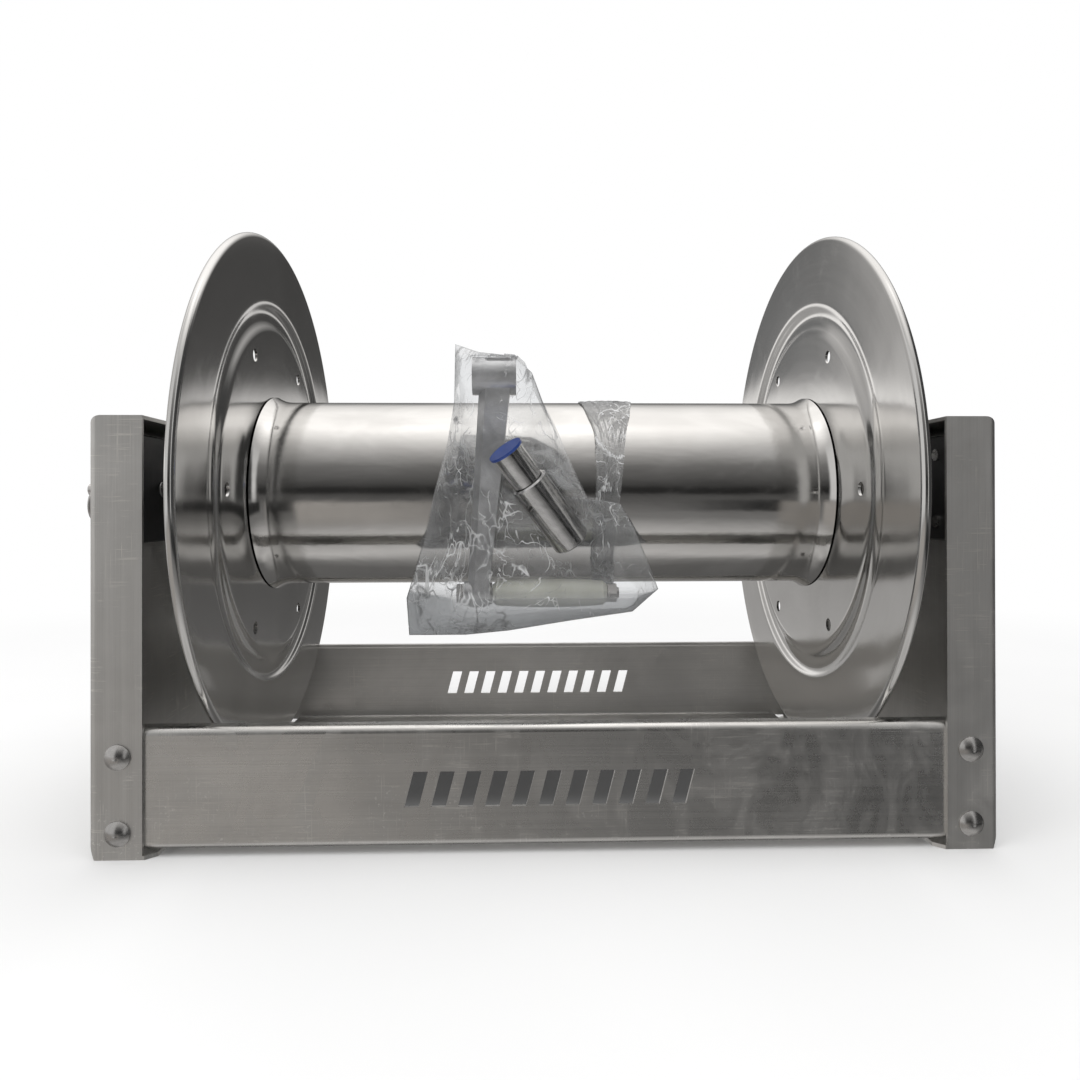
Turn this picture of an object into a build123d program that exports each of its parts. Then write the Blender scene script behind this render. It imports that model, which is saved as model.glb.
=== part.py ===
from build123d import *
from math import cos, radians, sin
import os

# Manual fire hose reel: a folded stainless frame, a drum between two spun discs on a plain-bearing
# axle, a spring lock pin, and a bag of loose fittings (crank and swivel) tied to the drum.
# Millimetres.  +X runs along the axle towards the inlet, +Y to the back, +Z up.
# The origin is the centre of the four base bolt holes, on the surface the frame stands on.

os.makedirs("parts", exist_ok=True)

# ---- driving dimensions: frame ------------------------------------------------------------
frame_width = 594.0
frame_depth = 332.0
frame_height = 286.0
axle_height = 239.0
sheet = 2.5
bend_radius = 5.0
top_bend_radius = 8.0
foot_chamfer = (4.0, 10.0)
flange_width = 34.5
foot_width = 42.0
foot_corner = 6.0

rail_bottom = 5.0
rail_top = 84.0
rail_lip = 11.0
rail_bend_radius = 5.0
rail_foot = 24.0
rail_length = 576.0
rail_foot_length = 500.0
slot_count = 11
slot_pitch = 17.5
slot_width = 9.5
slot_low = 31.0
slot_high = 54.0
slot_lean = 6.0

rail_bolt_x = 278.0
rail_bolt_heights = (17.0, 66.0)
carriage_head_radius = 8.2
carriage_head_height = 4.2
bolt_radius = 4.0
bolt_hole_radius = 4.5
base_hole_radius = 4.5
base_hole_x = 275.0
base_hole_y = 110.0

# ---- driving dimensions: bearing bars -----------------------------------------------------
bar_thickness = 25.0
bar_half_height = 36.0
bar_half_depth = 160.0
bar_screw_rise = 23.0
bar_screw_y = {"left": 80.0, "right": 140.0}
bar_screw_end = {"left": -3.0, "right": 1.5}
web_axle_hole_radius = 24.0
running_gap = 0.05

# ---- driving dimensions: drum and discs ---------------------------------------------------
disc_radius = 210.0
disc_plane = 224.0
disc_sheet = 2.0
rim_bead_radius = 3.5
ring_inner_radius = 135.0
ring_outer_radius = 157.0
ring_depth = 3.5
lock_hole_count = 6
lock_circle_radius = 122.0
lock_hole_radius = 5.0
drum_radius = 76.2
drum_wall = 2.0
flare_radius = 80.4
flare_length = 14.0

crank_shaft_radius = 12.7
crank_shaft_end = 345.0
crank_shoulder = 315.0
crank_stub_radius = 7.95
crank_bore_radius = 8.0
inlet_pipe_radius = 16.7
inlet_bore_radius = 13.3
inlet_shaft_end = 345.0
thread_relief = (313.0, 316.0)
thread_relief_radius = 15.4
hub_flange_radius = 50.0
hub_flange_thickness = 6.0
hub_boss_radius = 24.0
hub_boss_end = 250.0
backing_thickness = 5.0
hub_bolt_circle = 38.0
hub_bolt_radius = 3.0
hub_bolt_count = 4
hub_nut_flats = 10.0
hub_nut_height = 5.0
hub_head_height = 4.0
set_screw_inset = 8.0
collar_width = 12.0
collar_radius = 24.0
washer_thickness = 2.0
end_float = 0.3

elbow_x = 150.0
elbow_radius = 22.0
elbow_reach = 32.0
elbow_socket = 8.0
elbow_top = 48.0
riser_foot = 30.0
adapter_foot = 82.2
adapter_flats = 42.0
adapter_hex_height = 14.0
adapter_radius = 19.0
outlet_end = 112.0
outlet_bore_radius = 12.0
outlet_thread_depth = 16.0

# ---- driving dimensions: lock pin ---------------------------------------------------------
lock_pin_radius = 4.0
lock_travel = 13.5
lock_tip = -227.5
lock_pin_end = -318.0
lock_collar_face = -241.5
lock_collar_width = 5.0
lock_collar_radius = 7.0
spring_coils = 8
spring_wire = 0.7
spring_radius = 4.9
pull_ring_x = -313.0
pull_ring_radius = 11.0
pull_ring_wire = 1.25
pull_ring_hole = 2.2

# ---- driving dimensions: loose crank and swivel, in their bag -----------------------------
crank_boss = (-36.0, -95.5, 323.0)
crank_foot = (-51.0, -95.5, 163.0)
crank_boss_radius = 14.0
crank_boss_length = 32.0
crank_pad_radius = 9.0
crank_pad_width = 19.0
crank_arm_depth = 20.0
crank_arm_top = 24.0
crank_arm_foot = 15.0
arm_bevel = (7.0, 5.0)
grip_length = 84.0
grip_radius = 10.5
grip_bolt_radius = 4.0
grip_nut_flats = 13.0
grip_nut_gap = 0.4
grip_washer_radius = 8.0
swivel_top = (-30.0, -126.0, 267.0)
swivel_low = (19.0, -98.0, 201.0)
swivel_body_radius = 14.0
swivel_body_length = 58.0
swivel_stem_radius = 11.5
swivel_bore_radius = 8.0
swivel_port_radius = 3.2
swivel_port_place = 15.0
swivel_port_turn = 50.0
bag_back_y = -79.0
bag_front_y = -143.0
bag_film = 1.0
neck_x = (30.0, 60.0)
neck_film = 1.6

# ---- worked out ---------------------------------------------------------------------------
panel_outer = frame_width / 2
web_inner = panel_outer - sheet
bar_inner = web_inner - bar_thickness
frame_front = frame_depth / 2
rail_face = frame_front - sheet
axle = Axis((0, 0, axle_height), (1, 0, 0))
axle_plane = Plane((0, 0, axle_height), x_dir=(1, 0, 0), z_dir=(0, -1, 0))
SIDES = (("left", -1), ("right", 1))


def save(part, name):
    """Label a finished piece and write it to its own file."""
    part.label = name
    export_step(part, f"parts/{name}.step")


def rod_x(x0, x1, radius, y=0.0, z=axle_height, mode=Mode.ADD):
    """A round bar along X from x0 to x1."""
    with BuildSketch(Plane((x0, y, z), x_dir=(0, 1, 0), z_dir=(1, 0, 0))) as section:
        Circle(radius)
    extrude(section.sketch, amount=x1 - x0, mode=mode)


def rod_y(y0, y1, radius, x=0.0, z=axle_height, mode=Mode.ADD):
    """A round bar along Y from y0 to y1."""
    with BuildSketch(Plane((x, y0, z), x_dir=(1, 0, 0), z_dir=(0, 1, 0))) as section:
        Circle(radius)
    extrude(section.sketch, amount=y1 - y0, mode=mode)


def hex_x(x0, x1, across_flats, y, z):
    """A hexagonal prism along X from x0 to x1."""
    with BuildSketch(Plane((x0, y, z), x_dir=(0, 1, 0), z_dir=(1, 0, 0))) as section:
        RegularPolygon(across_flats / 2, 6, major_radius=False)
    extrude(section.sketch, amount=x1 - x0)


def turned(*points):
    """A piece turned about the axle, from (x, radius) points."""
    with BuildSketch(axle_plane) as section:
        with BuildLine():
            Polyline(*points, close=True)
        make_face()
    revolve(section.sketch, axis=axle)


def around(radius, angle):
    """The (y, z) place at a radius and an angle about the axle, from the front, upwards."""
    return -radius * cos(radians(angle)), axle_height + radius * sin(radians(angle))


def panel_envelope(side, inset, mouth):
    """The outside of an end panel drawn in by inset, from its web to the plane |x| = mouth."""
    web = panel_outer
    with BuildPart() as envelope:
        with BuildSketch(Plane.XY):
            with BuildLine():
                Polyline((side * mouth, -frame_front), (side * web, -frame_front),
                         (side * web, frame_front), (side * mouth, frame_front), close=True)
            face = make_face()
            fillet(face.vertices().group_by(Axis.X)[0 if side < 0 else -1], bend_radius)
            if inset:
                offset(amount=-inset, kind=Kind.INTERSECTION)
        extrude(amount=frame_height)
        with BuildSketch(Plane.XZ):
            with BuildLine():
                Polyline((side * mouth, 0), (side * (web - foot_chamfer[0]), 0),
                         (side * web, foot_chamfer[1]), (side * web, frame_height),
                         (side * mouth, frame_height), close=True)
            face = make_face()
            top_corners = face.vertices().group_by(Axis.Y)[-1].sort_by(Axis.X)
            fillet(top_corners[0 if side < 0 else -1], top_bend_radius)
            if inset:
                offset(amount=-inset, kind=Kind.INTERSECTION)
        extrude(amount=frame_depth, both=True, mode=Mode.INTERSECT)
    return envelope.part


# ==== frame ================================================================================
# Each end panel is a folded tray, open towards the drum: web, front, rear, top and foot flange.
for name, side in SIDES:
    outside = panel_envelope(side, 0.0, panel_outer - foot_width)
    inside = panel_envelope(side, sheet, panel_outer - foot_width - 20)
    with BuildPart() as end_panel:
        add(outside)
        add(inside, mode=Mode.SUBTRACT)
        # only the foot flange is full width
        with BuildSketch(Plane.XY.offset(sheet)):
            with Locations((side * (panel_outer - flange_width - 10), 0)):
                Rectangle(20, frame_depth + 2)
        extrude(amount=frame_height, mode=Mode.SUBTRACT)
        tip = side * (panel_outer - foot_width)
        with BuildSketch(Plane.XY):
            for y in (-frame_front, frame_front):
                inward = foot_corner if y < 0 else -foot_corner
                with BuildLine():
                    Polyline((tip, y), (tip + side * foot_corner, y), (tip, y + inward), close=True)
                make_face()
        extrude(amount=sheet, mode=Mode.SUBTRACT)
        rod_x(side * panel_outer, side * (web_inner - 1), web_axle_hole_radius, mode=Mode.SUBTRACT)
        for y in (-bar_screw_y[name], bar_screw_y[name]):
            for z in (axle_height - bar_screw_rise, axle_height + bar_screw_rise):
                rod_x(side * panel_outer, side * (web_inner - 1), bolt_hole_radius, y, z, Mode.SUBTRACT)
        for y in (-frame_front, frame_front - sheet):
            for z in rail_bolt_heights:
                rod_y(y, y + sheet, bolt_hole_radius, side * rail_bolt_x, z, Mode.SUBTRACT)
        with BuildSketch(Plane.XY):
            with Locations((side * base_hole_x, -base_hole_y), (side * base_hole_x, base_hole_y)):
                Circle(base_hole_radius)
        extrude(amount=sheet, mode=Mode.SUBTRACT)
        if side < 0:
            rod_x(-panel_outer, -web_inner + 1, bolt_hole_radius, -lock_circle_radius, mode=Mode.SUBTRACT)
    save(end_panel.part, f"end_panel_{name}")

# The rails are folded channels behind the flanges of the end panels, pierced by leaning slots.
for name, face in (("front_rail", -1), ("rear_rail", 1)):
    with BuildPart() as rail:
        with BuildSketch(Plane.YZ.offset(-rail_length / 2)):
            with BuildLine():
                FilletPolyline(
                    (face * (rail_face - rail_foot), rail_bottom),
                    (face * rail_face, rail_bottom),
                    (face * rail_face, rail_top),
                    (face * (rail_face - rail_lip), rail_top),
                    radius=rail_bend_radius,
                )
                offset(amount=sheet, side=Side.LEFT if face > 0 else Side.RIGHT)
            make_face()
        extrude(amount=rail_length)
        # the foot stops short of the end panels
        for side in (-1, 1):
            with BuildSketch(Plane.XY.offset(rail_bottom - 1)):
                with Locations((side * (rail_foot_length / 2 + 40), face * (rail_face - sheet - 25))):
                    Rectangle(80, 50)
            extrude(amount=rail_bend_radius + 1, mode=Mode.SUBTRACT)
        with BuildSketch(Plane.XZ.offset(-face * rail_face + 2 * sheet)):
            for number in range(slot_count):
                centre = (number - (slot_count - 1) / 2) * slot_pitch
                with BuildLine():
                    Polyline(
                        (centre - slot_width / 2 - slot_lean / 2, slot_low),
                        (centre + slot_width / 2 - slot_lean / 2, slot_low),
                        (centre + slot_width / 2 + slot_lean / 2, slot_high),
                        (centre - slot_width / 2 + slot_lean / 2, slot_high),
                        close=True,
                    )
                make_face()
        extrude(amount=-4 * sheet, mode=Mode.SUBTRACT)
        for side in (-1, 1):
            for z in rail_bolt_heights:
                low = min(face * rail_face, face * (rail_face - sheet))
                rod_y(low, low + sheet, bolt_hole_radius, side * rail_bolt_x, z, Mode.SUBTRACT)
    save(rail.part, name)

# Carriage bolts pass through flange and rail, with flanged nuts inside.
bolt_length = 2 * sheet + 10
head_rim = 1.0
with BuildPart() as rail_bolts:
    for face in (-1, 1):
        outer = face * frame_front
        for side in (-1, 1):
            for z in rail_bolt_heights:
                rod_y(outer, outer - face * bolt_length, bolt_radius, side * rail_bolt_x, z)
                with BuildSketch(Plane((side * rail_bolt_x, outer, z), x_dir=(1, 0, 0), z_dir=(0, face, 0))):
                    Circle(carriage_head_radius)
                extrude(amount=head_rim)
                with BuildSketch(Plane((side * rail_bolt_x, outer + face * head_rim, z),
                                       x_dir=(1, 0, 0), z_dir=(0, 0, 1))):
                    with BuildLine():
                        rise = face * (carriage_head_height - head_rim)
                        Line((0, 0), (carriage_head_radius, 0))
                        TangentArc((0, rise), (carriage_head_radius, 0), tangent=(1, 0))
                        Line((0, rise), (0, 0))
                    make_face()
                revolve(axis=Axis((side * rail_bolt_x, outer, z), (0, 1, 0)))
save(rail_bolts.part, "rail_bolts")

with BuildPart() as rail_nuts:
    for face in (-1, 1):
        seat = face * (rail_face - sheet)
        for side in (-1, 1):
            for z in rail_bolt_heights:
                rod_y(seat, seat - face * 1.5, 8.5, side * rail_bolt_x, z)
                with BuildSketch(Plane((side * rail_bolt_x, seat, z), x_dir=(1, 0, 0), z_dir=(0, -face, 0))):
                    RegularPolygon(6.5, 6, major_radius=False)
                extrude(amount=7.5)
                rod_y(seat, seat - face * 8, bolt_radius, side * rail_bolt_x, z, Mode.SUBTRACT)
save(rail_nuts.part, "rail_nuts")

# ==== bearing bars =========================================================================
shaft_radius = {"left": crank_shaft_radius, "right": inlet_pipe_radius}
for name, side in SIDES:
    with BuildPart() as bearing_bar:
        with BuildSketch(Plane.XZ.offset(-bar_half_depth)):
            with Locations((side * (web_inner + bar_inner) / 2, axle_height)):
                Rectangle(bar_thickness, 2 * bar_half_height)
        extrude(amount=2 * bar_half_depth)
        inner_edges = bearing_bar.edges().group_by(Axis.X)[-1 if side < 0 else 0]
        chamfer(inner_edges, 1.0)
        rod_x(side * web_inner, side * bar_inner, shaft_radius[name] + running_gap, mode=Mode.SUBTRACT)
        for y in (-bar_screw_y[name], bar_screw_y[name]):
            for z in (axle_height - bar_screw_rise, axle_height + bar_screw_rise):
                rod_x(side * web_inner, side * bar_inner, bolt_radius, y, z, Mode.SUBTRACT)
        if side < 0:
            rod_x(-web_inner, -bar_inner, lock_pin_radius + running_gap, -lock_circle_radius,
                  mode=Mode.SUBTRACT)
    save(bearing_bar.part, f"bearing_bar_{name}")

    # button-head screws from outside, through the web, threaded into the bar
    with BuildPart() as bar_screws:
        for y in (-bar_screw_y[name], bar_screw_y[name]):
            for z in (axle_height - bar_screw_rise, axle_height + bar_screw_rise):
                rod_x(side * panel_outer, side * (bar_inner - bar_screw_end[name]), bolt_radius, y, z)
                rod_x(side * panel_outer, side * (panel_outer + 2.0), 8.0, y, z)
                rod_x(side * (panel_outer + 2.0), side * (panel_outer + 4.2), 5.5, y, z)
                hex_x(side * (panel_outer + 4.2), side * (panel_outer + 4.3), 5.0, y, z)
    save(bar_screws.part, f"bar_screws_{name}")

# ==== drum, discs and hubs =================================================================
hub_bolt_places = [
    around(hub_bolt_circle, 45 + number * 360 / hub_bolt_count) for number in range(hub_bolt_count)
]
with BuildPart() as drum_tube:
    with BuildSketch(axle_plane):
        with BuildLine():
            start = disc_plane - flare_length
            Line((-start, drum_radius), (start, drum_radius))
            TangentArc((start, drum_radius), (disc_plane, flare_radius), tangent=(1, 0))
            Line((disc_plane, flare_radius), (disc_plane, flare_radius - 2.4 * drum_wall))
            inner_start = start - 2
            TangentArc((inner_start, drum_radius - drum_wall),
                       (disc_plane, flare_radius - 2.4 * drum_wall), tangent=(1, 0))
            Line((inner_start, drum_radius - drum_wall), (-inner_start, drum_radius - drum_wall))
            TangentArc((-inner_start, drum_radius - drum_wall),
                       (-disc_plane, flare_radius - 2.4 * drum_wall), tangent=(-1, 0))
            Line((-disc_plane, flare_radius - 2.4 * drum_wall), (-disc_plane, flare_radius))
            TangentArc((-start, drum_radius), (-disc_plane, flare_radius), tangent=(-1, 0))
        make_face()
    revolve(axis=axle)
    # the outlet riser passes out at the back
    rod_y(drum_radius - 12, drum_radius + 5, inlet_pipe_radius + 0.8, elbow_x, mode=Mode.SUBTRACT)
save(drum_tube.part, "drum_tube")

for name, side in SIDES:
    near = disc_plane
    far = disc_plane + disc_sheet
    with BuildPart() as disc:
        with BuildSketch(axle_plane) as section:
            with BuildLine():
                Polyline(
                    (side * near, inlet_pipe_radius + 1),
                    (side * near, ring_inner_radius),
                    (side * (near + ring_depth), ring_inner_radius + 6),
                    (side * (near + ring_depth), ring_outer_radius - 6),
                    (side * near, ring_outer_radius),
                    (side * near, disc_radius - rim_bead_radius),
                    (side * far, disc_radius - rim_bead_radius),
                    (side * far, ring_outer_radius + 1),
                    (side * (far + ring_depth), ring_outer_radius - 5),
                    (side * (far + ring_depth), ring_inner_radius + 5),
                    (side * far, ring_inner_radius - 1),
                    (side * far, inlet_pipe_radius + 1),
                    close=True,
                )
            make_face()
            corners = section.vertices()
            fillet(corners.filter_by_position(Axis.Y, ring_inner_radius - 2, ring_outer_radius + 2), 3.0)
        revolve(axis=axle)
        with BuildSketch(axle_plane):
            with Locations((side * (near + rim_bead_radius), disc_radius - rim_bead_radius)):
                Circle(rim_bead_radius)
        revolve(axis=axle)
        for number in range(lock_hole_count):
            y, z = around(lock_circle_radius, number * 360 / lock_hole_count)
            rod_x(side * (near - 1), side * (far + 1), lock_hole_radius, y, z, Mode.SUBTRACT)
        for y, z in hub_bolt_places:
            rod_x(side * (near - 1), side * (far + 1), hub_bolt_radius, y, z, Mode.SUBTRACT)
    save(disc.part, f"disc_{name}")

    # the hub clamps the disc between an outer flange and an inner backing plate
    shaft = shaft_radius[name]
    with BuildPart() as hub:
        turned(
            (side * far, shaft),
            (side * far, hub_flange_radius),
            (side * (far + hub_flange_thickness), hub_flange_radius),
            (side * (far + hub_flange_thickness), hub_boss_radius),
            (side * hub_boss_end, hub_boss_radius),
            (side * hub_boss_end, shaft),
        )
        for y, z in hub_bolt_places:
            rod_x(side * far, side * (far + hub_flange_thickness), hub_bolt_radius, y, z, Mode.SUBTRACT)
        with BuildSketch(Plane((side * (hub_boss_end - set_screw_inset), 0, axle_height),
                               x_dir=(1, 0, 0), z_dir=(0, 0, 1))):
            Circle(hub_bolt_radius)
        extrude(amount=hub_boss_radius + 1, mode=Mode.SUBTRACT)
    save(hub.part, f"hub_{name}")

    with BuildPart() as hub_backing:
        rod_x(side * (near - backing_thickness), side * near, hub_flange_radius)
        rod_x(side * (near - backing_thickness), side * near, shaft, mode=Mode.SUBTRACT)
        for y, z in hub_bolt_places:
            rod_x(side * (near - backing_thickness), side * near, hub_bolt_radius, y, z, Mode.SUBTRACT)
    save(hub_backing.part, f"hub_backing_{name}")

    with BuildPart() as hub_bolts:
        for y, z in hub_bolt_places:
            rod_x(side * (near - backing_thickness - 8), side * (far + hub_flange_thickness),
                  hub_bolt_radius, y, z)
            hex_x(side * (far + hub_flange_thickness), side * (far + hub_flange_thickness + hub_head_height),
                  hub_nut_flats, y, z)
    save(hub_bolts.part, f"hub_bolts_{name}")

    with BuildPart() as hub_nuts:
        for y, z in hub_bolt_places:
            seat = side * (near - backing_thickness)
            end = side * (near - backing_thickness - hub_nut_height)
            hex_x(seat, end, hub_nut_flats, y, z)
            rod_x(seat, end, hub_bolt_radius, y, z, Mode.SUBTRACT)
    save(hub_nuts.part, f"hub_nuts_{name}")

    # between hub and bar: a set collar and a thrust washer, with a little end float
    washer_face = bar_inner - end_float
    collar_face = washer_face - washer_thickness
    with BuildPart() as thrust_washer:
        rod_x(side * collar_face, side * washer_face, collar_radius + 2)
        rod_x(side * collar_face, side * washer_face, shaft, mode=Mode.SUBTRACT)
    save(thrust_washer.part, f"thrust_washer_{name}")

    with BuildPart() as shaft_collar:
        rod_x(side * (collar_face - collar_width), side * collar_face, collar_radius)
        rod_x(side * (collar_face - collar_width), side * collar_face, shaft, mode=Mode.SUBTRACT)
        with BuildSketch(Plane((side * (collar_face - collar_width / 2), 0, axle_height),
                               x_dir=(1, 0, 0), z_dir=(0, 0, 1))):
            Circle(hub_bolt_radius)
        extrude(amount=collar_radius + 1, mode=Mode.SUBTRACT)
    save(shaft_collar.part, f"shaft_collar_{name}")

# Set screws hold the two hubs and the two collars to their shafts.
with BuildPart() as set_screws:
    for name, side in SIDES:
        shaft = shaft_radius[name]
        collar_middle = bar_inner - end_float - washer_thickness - collar_width / 2
        for x in (hub_boss_end - set_screw_inset, collar_middle):
            with BuildSketch(Plane((side * x, 0, axle_height + shaft), x_dir=(1, 0, 0), z_dir=(0, 0, 1))):
                Circle(hub_bolt_radius)
            extrude(amount=hub_boss_radius - shaft - 0.5)
save(set_screws.part, "set_screws")

# ==== shafts and water way =================================================================
with BuildPart() as crank_shaft:
    rod_x(-crank_shoulder, -(disc_plane - 30), crank_shaft_radius)
    chamfer(crank_shaft.edges().group_by(Axis.X)[0], 1.0)
    # the free end is turned down to the loose crank's bore
    rod_x(-crank_shaft_end, -crank_shoulder, crank_stub_radius)
    chamfer(crank_shaft.edges().group_by(Axis.X)[0], 1.0)
    # a keyway for the crank's set screw
    with BuildSketch(Plane((-crank_shaft_end, 0, axle_height + crank_stub_radius),
                           x_dir=(1, 0, 0), z_dir=(0, 0, 1))):
        with Locations((15, 0)):
            SlotOverall(18, 4.0)
    extrude(amount=-2.0, mode=Mode.SUBTRACT)
save(crank_shaft.part, "crank_shaft")

with BuildPart() as inlet_shaft:
    rod_x(elbow_x + elbow_socket, inlet_shaft_end, inlet_pipe_radius)
    chamfer(inlet_shaft.edges().group_by(Axis.X)[-1], 1.2)
    # a relief groove ends the pipe thread clear of the bearing
    rod_x(thread_relief[0], thread_relief[1], inlet_pipe_radius + 1, mode=Mode.SUBTRACT)
    rod_x(thread_relief[0], thread_relief[1], thread_relief_radius)
    rod_x(elbow_x + elbow_socket, inlet_shaft_end, inlet_bore_radius, mode=Mode.SUBTRACT)
save(inlet_shaft.part, "inlet_shaft")

with BuildPart() as manifold_elbow:
    rod_x(elbow_x - elbow_radius, elbow_x + elbow_reach, elbow_radius)
    rod_y(0, elbow_top, elbow_radius, elbow_x)
    rod_x(elbow_x, elbow_x + elbow_reach, inlet_bore_radius, mode=Mode.SUBTRACT)
    rod_x(elbow_x + elbow_socket, elbow_x + elbow_reach, inlet_pipe_radius, mode=Mode.SUBTRACT)
    rod_y(0, elbow_top, inlet_bore_radius, elbow_x, mode=Mode.SUBTRACT)
    rod_y(riser_foot, elbow_top, inlet_pipe_radius, elbow_x, mode=Mode.SUBTRACT)
save(manifold_elbow.part, "manifold_elbow")

thread_floor = outlet_end - outlet_thread_depth - 2
with BuildPart() as outlet_riser:
    rod_y(riser_foot, thread_floor, inlet_pipe_radius, elbow_x)
    rod_y(riser_foot, thread_floor, inlet_bore_radius, elbow_x, mode=Mode.SUBTRACT)
save(outlet_riser.part, "outlet_riser")

with BuildPart() as outlet_adapter:
    with BuildSketch(Plane((elbow_x, adapter_foot, axle_height), x_dir=(1, 0, 0), z_dir=(0, 1, 0))):
        RegularPolygon(adapter_flats / 2, 6, major_radius=False)
    extrude(amount=adapter_hex_height)
    rod_y(adapter_foot, outlet_end, adapter_radius, elbow_x)
    rod_y(adapter_foot, thread_floor, inlet_pipe_radius, elbow_x, mode=Mode.SUBTRACT)
    rod_y(adapter_foot, outlet_end, outlet_bore_radius, elbow_x, mode=Mode.SUBTRACT)
save(outlet_adapter.part, "outlet_adapter")

# ==== lock pin =============================================================================
# It is drawn back here, clear of the disc; it slides lock_travel towards the drum to engage.
with BuildPart() as lock_pin:
    rod_x(lock_pin_end, lock_tip, lock_pin_radius, -lock_circle_radius)
    chamfer(lock_pin.edges().group_by(Axis.X)[-1], 1.0)
    rod_y(-lock_circle_radius - 5, -lock_circle_radius + 5, pull_ring_hole, pull_ring_x, mode=Mode.SUBTRACT)
save(lock_pin.part, "lock_pin")

with BuildPart() as lock_collar:
    rod_x(lock_collar_face - lock_collar_width, lock_collar_face, lock_collar_radius, -lock_circle_radius)
    rod_x(lock_collar_face - lock_collar_width, lock_collar_face, lock_pin_radius, -lock_circle_radius,
          mode=Mode.SUBTRACT)
save(lock_collar.part, "lock_collar")

spring_start = -bar_inner + spring_wire + 0.1
spring_length = (lock_collar_face - lock_collar_width) + bar_inner - 2 * (spring_wire + 0.1)
with BuildPart() as lock_spring:
    with BuildLine() as coil:
        Helix(spring_length / spring_coils, spring_length, spring_radius,
              center=(spring_start, -lock_circle_radius, axle_height), direction=(1, 0, 0))
    with BuildSketch(Plane(coil.line @ 0, z_dir=coil.line % 0)):
        Circle(spring_wire)
    sweep(path=coil.line, is_frenet=True)
save(lock_spring.part, "lock_spring")

with BuildPart() as pull_ring:
    with BuildSketch(Plane((pull_ring_x, -lock_circle_radius, axle_height - pull_ring_radius),
                           x_dir=(1, 0, 0), z_dir=(0, -1, 0))):
        with Locations((0, pull_ring_radius)):
            Circle(pull_ring_wire)
    revolve(axis=Axis((pull_ring_x, -lock_circle_radius, axle_height - pull_ring_radius), (1, 0, 0)))
save(pull_ring.part, "pull_ring")

# ==== loose crank, in the bag ==============================================================
with BuildPart() as crank_arm:
    top_x, arm_y, top_z = crank_boss
    foot_x, _, foot_z = crank_foot
    back = arm_y + crank_arm_depth / 2
    with BuildSketch(Plane.XZ.offset(-back)):
        with BuildLine():
            Polyline(
                (top_x - crank_arm_top / 2, top_z + 12),
                (top_x + crank_arm_top / 2, top_z + 12),
                (foot_x + crank_arm_foot / 2, foot_z - 9),
                (foot_x - crank_arm_foot / 2, foot_z - 9),
                close=True,
            )
        make_face()
    extrude(amount=crank_arm_depth)
    # a wide bevel runs down the front of the arm on the side away from the grip
    front_left = crank_arm.edges().group_by(Axis.Y)[0].sort_by(Axis.X)[0]
    chamfer(front_left, arm_bevel[0], arm_bevel[1])
    fillet(crank_arm.edges().filter_by(Axis.Y).sort_by(Axis.X)[-2:], 3.0)
    boss_right = top_x + crank_arm_top / 2 + 2
    rod_x(boss_right - crank_boss_length, boss_right, crank_boss_radius, arm_y, top_z)
    rod_x(foot_x - crank_pad_width / 2, foot_x + crank_pad_width / 2, crank_pad_radius, arm_y, foot_z)
    rod_x(top_x - 60, top_x + 60, crank_bore_radius, arm_y, top_z, Mode.SUBTRACT)
    rod_x(foot_x - 20, foot_x + 20, grip_bolt_radius, arm_y, foot_z, Mode.SUBTRACT)
save(crank_arm.part, "crank_arm")

arm_face = crank_foot[0] + crank_pad_width / 2
bolt_seat = crank_foot[0] - crank_pad_width / 2
washer_end = arm_face + 1.6
grip_end = washer_end + grip_nut_gap + grip_length
with BuildPart() as grip_bolt:
    rod_x(bolt_seat, grip_end + 9, grip_bolt_radius, crank_foot[1], crank_foot[2])
    hex_x(bolt_seat - 5.3, bolt_seat, grip_nut_flats, crank_foot[1], crank_foot[2])
save(grip_bolt.part, "grip_bolt")

with BuildPart() as grip_washer:
    rod_x(arm_face, washer_end, grip_washer_radius, crank_foot[1], crank_foot[2])
    rod_x(arm_face, washer_end, grip_bolt_radius, crank_foot[1], crank_foot[2], Mode.SUBTRACT)
save(grip_washer.part, "grip_washer")

with BuildPart() as grip_nut:
    hex_x(grip_end + grip_nut_gap, grip_end + 7.2, grip_nut_flats, crank_foot[1], crank_foot[2])
    rod_x(grip_end + grip_nut_gap, grip_end + 7.2, grip_bolt_radius, crank_foot[1], crank_foot[2],
          Mode.SUBTRACT)
save(grip_nut.part, "grip_nut")

with BuildPart() as crank_grip:
    with BuildSketch(Plane((0, crank_foot[1], crank_foot[2]), x_dir=(1, 0, 0), z_dir=(0, -1, 0))):
        with BuildLine():
            x0 = washer_end + grip_nut_gap
            Polyline((x0 + 3, grip_radius - 1.5), (x0, grip_radius - 4), (x0, grip_bolt_radius + running_gap),
                     (grip_end, grip_bolt_radius + running_gap), (grip_end, grip_radius - 4),
                     (grip_end - 3, grip_radius - 1.5))
            ThreePointArc((x0 + 3, grip_radius - 1.5), ((x0 + grip_end) / 2, grip_radius),
                          (grip_end - 3, grip_radius - 1.5))
        make_face()
    revolve(axis=Axis((0, crank_foot[1], crank_foot[2]), (1, 0, 0)))
save(crank_grip.part, "crank_grip")

# ==== loose straight swivel, in the bag ====================================================
run = Vector(*swivel_low) - Vector(*swivel_top)
swivel_axis = run.normalized()
body_start = run.length - swivel_body_length


def swivel_plane(distance):
    """The plane across the swivel at a distance from its capped end."""
    return Plane(Vector(*swivel_top) + swivel_axis * distance, x_dir=(0, 1, 0), z_dir=swivel_axis)


def swivel_rod(start, end, radius, mode=Mode.ADD):
    """A round bar along the swivel's axis."""
    with BuildSketch(swivel_plane(start)) as section:
        Circle(radius)
    extrude(section.sketch, amount=end - start, mode=mode)


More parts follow.
